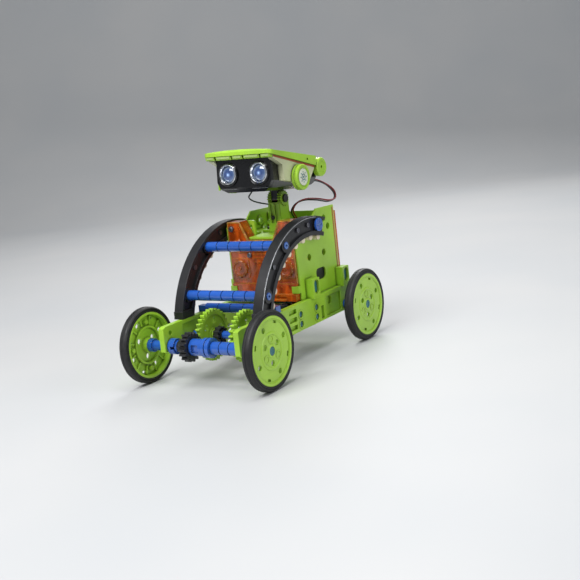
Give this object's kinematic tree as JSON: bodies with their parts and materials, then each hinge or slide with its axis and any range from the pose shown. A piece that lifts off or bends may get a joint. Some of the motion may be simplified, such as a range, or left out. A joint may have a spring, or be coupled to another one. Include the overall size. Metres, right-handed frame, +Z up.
{
  "type": "solar robot kit",
  "caption": "Four-wheeled toy robot with geared axles, two toothed arches over its front, an orange gearbox cover and a tilting head with a solar roof.",
  "frame": {"origin": "on the ground, midway between the axles, on the centre plane of the rails", "axes": "+Z up, -Y to the front, +X to the robot's left"},
  "size_m": [0.0928, 0.1604, 0.1316],
  "materials": {
    "lime_plastic": "satin moulded plastic",
    "cheek_plastic": "satin moulded plastic",
    "orange_cover": "glossy translucent plastic",
    "blue_plastic": "glossy moulded plastic",
    "black_plastic": "satin moulded plastic",
    "head_plastic": "glossy moulded plastic",
    "arch_plastic": "satin moulded plastic",
    "cream_plastic": "satin moulded plastic",
    "white_plastic": "self-coloured nylon",
    "steel": "plain steel",
    "ring_metal": "polished",
    "lens": "clear blue lens",
    "solar": "laminated solar cell",
    "tyre": "black rubber",
    "wire": "soft wire insulation"
  },
  "bodies": {
    "chassis": {"left_side_rail": "lime_plastic", "right_side_rail": "lime_plastic", "chassis_floor": "lime_plastic", "left_side_plate": "lime_plastic", "right_side_plate": "lime_plastic", "gearbox_front_cover": "orange_cover", "gearbox_back_cover": "orange_cover", "top_deck": "lime_plastic", "left_arch": "arch_plastic", "right_arch": "arch_plastic", "arch_tooth_strips": "cream_plastic", "upper_cross_tube": "blue_plastic", "lower_cross_tube": "blue_plastic", "rear_cross_tube": "blue_plastic", "arch_top_plugs": "blue_plastic", "arch_screws": "steel", "cover_screws": "steel", "motor_can": "steel", "motor_end_cap": "white_plastic", "gear_pins": "steel", "neck_column": "lime_plastic", "neck_screws": "black_plastic", "head_tilt_pin": "black_plastic", "head_wires": "wire"},
    "front_axle_set": {"front_axle": "steel", "front_axle_bell": "blue_plastic", "front_drive_gear": "black_plastic", "front_axle_hub": "blue_plastic", "front_axle_sleeve": "blue_plastic", "front_wheel_spacers": "blue_plastic", "front_left_wheel": "lime_plastic", "front_right_wheel": "lime_plastic", "front_tyres": "tyre"},
    "rear_axle_set": {"rear_axle": "steel", "rear_axle_sleeve": "blue_plastic", "rear_wheel_spacers": "blue_plastic", "rear_left_wheel": "lime_plastic", "rear_right_wheel": "lime_plastic", "rear_tyres": "tyre"},
    "layshaft_set": {"layshaft": "steel", "layshaft_left_gear": "lime_plastic", "layshaft_right_gear": "lime_plastic", "layshaft_collar": "black_plastic", "layshaft_sleeves": "blue_plastic"},
    "front_idler": {"front_idler_gear": "black_plastic"},
    "rear_idler": {"rear_idler_gear": "black_plastic"},
    "output": {"output_gear": "black_plastic"},
    "second_stage": {"second_stage_gear": "white_plastic"},
    "first_stage": {"first_stage_gear": "white_plastic"},
    "motor_rotor": {"motor_shaft": "steel", "motor_pinion": "white_plastic"},
    "head": {"head_housing": "head_plastic", "left_cheek": "cheek_plastic", "right_cheek": "cheek_plastic", "roof_frame": "lime_plastic", "solar_cell": "solar", "eye_rings": "ring_metal", "eye_lenses": "lens", "ear_discs": "lime_plastic", "rear_knobs": "lime_plastic"}
  },
  "joints": [
    {"name": "front_axle_spin", "type": "hinge", "parent": "chassis", "child": "front_axle_set", "pos_m": [0, -0.0572, 0.023], "axis": [1, 0, 0], "continuous": true},
    {"name": "rear_axle_spin", "type": "hinge", "parent": "chassis", "child": "rear_axle_set", "pos_m": [0, 0.0572, 0.023], "axis": [1, 0, 0], "continuous": true},
    {"name": "layshaft_spin", "type": "hinge", "parent": "chassis", "child": "layshaft_set", "pos_m": [0, -0.03426, 0.0246], "axis": [1, 0, 0], "continuous": true},
    {"name": "front_idler_spin", "type": "hinge", "parent": "chassis", "child": "front_idler", "pos_m": [0, -0.00927, 0.02373], "axis": [1, 0, 0], "continuous": true},
    {"name": "rear_idler_spin", "type": "hinge", "parent": "chassis", "child": "rear_idler", "pos_m": [0, 0.0107, 0.02269], "axis": [1, 0, 0], "continuous": true},
    {"name": "output_spin", "type": "hinge", "parent": "chassis", "child": "output", "pos_m": [0, 0.02782, 0.02825], "axis": [1, 0, 0], "continuous": true},
    {"name": "second_stage_spin", "type": "hinge", "parent": "chassis", "child": "second_stage", "pos_m": [0, 0.02782, 0.04425], "axis": [1, 0, 0], "continuous": true},
    {"name": "first_stage_spin", "type": "hinge", "parent": "chassis", "child": "first_stage", "pos_m": [0, 0.03542, 0.05741], "axis": [1, 0, 0], "continuous": true},
    {"name": "motor_spin", "type": "hinge", "parent": "chassis", "child": "motor_rotor", "pos_m": [0, 0.0497, 0.05221], "axis": [1, 0, 0], "continuous": true},
    {"name": "head_tilt", "type": "hinge", "parent": "chassis", "child": "head", "pos_m": [0, 0.0357, 0.0965], "axis": [1, 0, 0], "range_deg": [-25, 20]}
  ],
  "couplings": [
    {"joint": "layshaft_spin", "follows": "front_axle_spin", "ratio": -0.53333},
    {"joint": "front_idler_spin", "follows": "front_axle_spin", "ratio": 0.8},
    {"joint": "rear_idler_spin", "follows": "front_axle_spin", "ratio": -0.8},
    {"joint": "output_spin", "follows": "front_axle_spin", "ratio": 1},
    {"joint": "second_stage_spin", "follows": "front_axle_spin", "ratio": -3},
    {"joint": "first_stage_spin", "follows": "front_axle_spin", "ratio": 8.4},
    {"joint": "motor_spin", "follows": "front_axle_spin", "ratio": -23.52}
  ]
}
